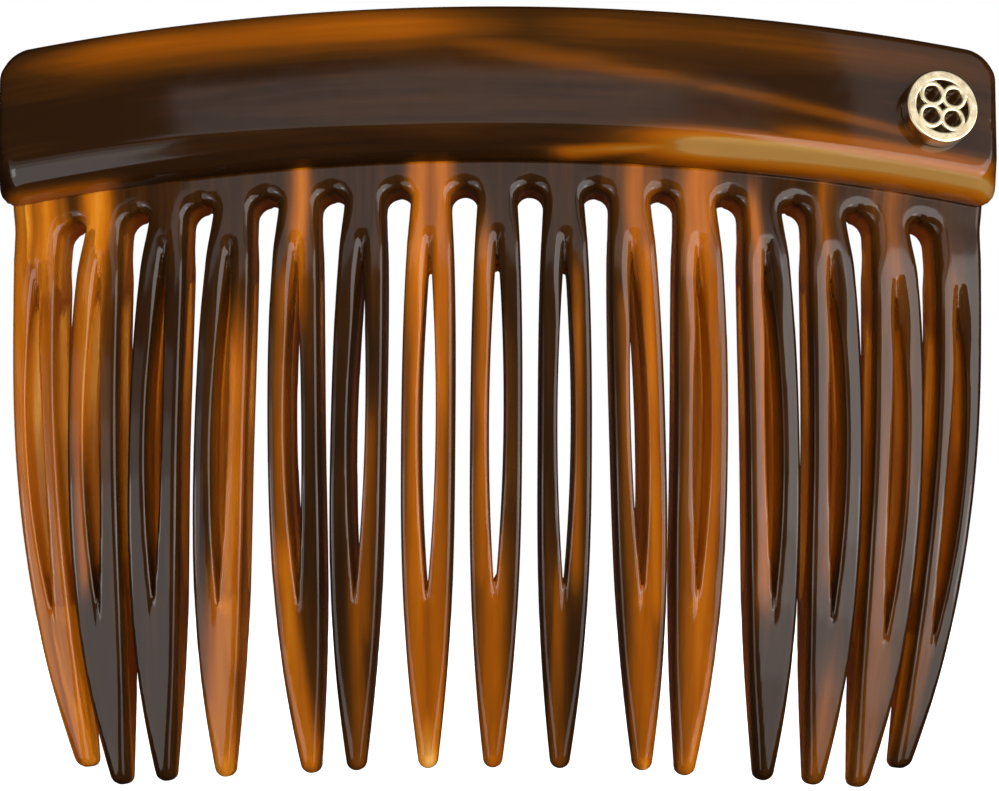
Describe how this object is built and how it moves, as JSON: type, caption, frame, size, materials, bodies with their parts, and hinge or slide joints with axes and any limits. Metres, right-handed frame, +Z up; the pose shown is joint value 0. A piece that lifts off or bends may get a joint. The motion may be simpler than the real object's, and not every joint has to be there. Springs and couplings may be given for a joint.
{
  "type": "decorative hair comb",
  "caption": "Curved side comb with slotted teeth, a thicker arched bar along its top and a small openwork metal emblem near one end of the bar.",
  "frame": {"origin": "middle of the plate's thickness at the root of the middle tooth, level with the tops of the gaps, where the hair stops", "axes": "+Z up with the teeth pointing down, +X along the comb to the viewer's right, front face towards -Y"},
  "size_m": [0.081, 0.0167, 0.0636],
  "materials": {
    "comb_acetate": "polished tortoiseshell acetate, amber and dark brown, slightly translucent",
    "bar_acetate": "polished dark brown tortoiseshell acetate with amber streaks",
    "gold_plate": "polished pale gold plating"
  },
  "bodies": {
    "root": {"spine": "comb_acetate", "front_bar": "bar_acetate", "emblem": "gold_plate", "emblem_pins": "gold_plate", "tooth_01": "comb_acetate", "tooth_02": "comb_acetate", "tooth_03": "comb_acetate", "tooth_04": "comb_acetate", "tooth_05": "comb_acetate", "tooth_06": "comb_acetate", "tooth_07": "comb_acetate", "tooth_08": "comb_acetate", "tooth_09": "comb_acetate", "tooth_10": "comb_acetate", "tooth_11": "comb_acetate", "tooth_12": "comb_acetate", "tooth_13": "comb_acetate", "tooth_14": "comb_acetate", "tooth_15": "comb_acetate"}
  },
  "joints": []
}
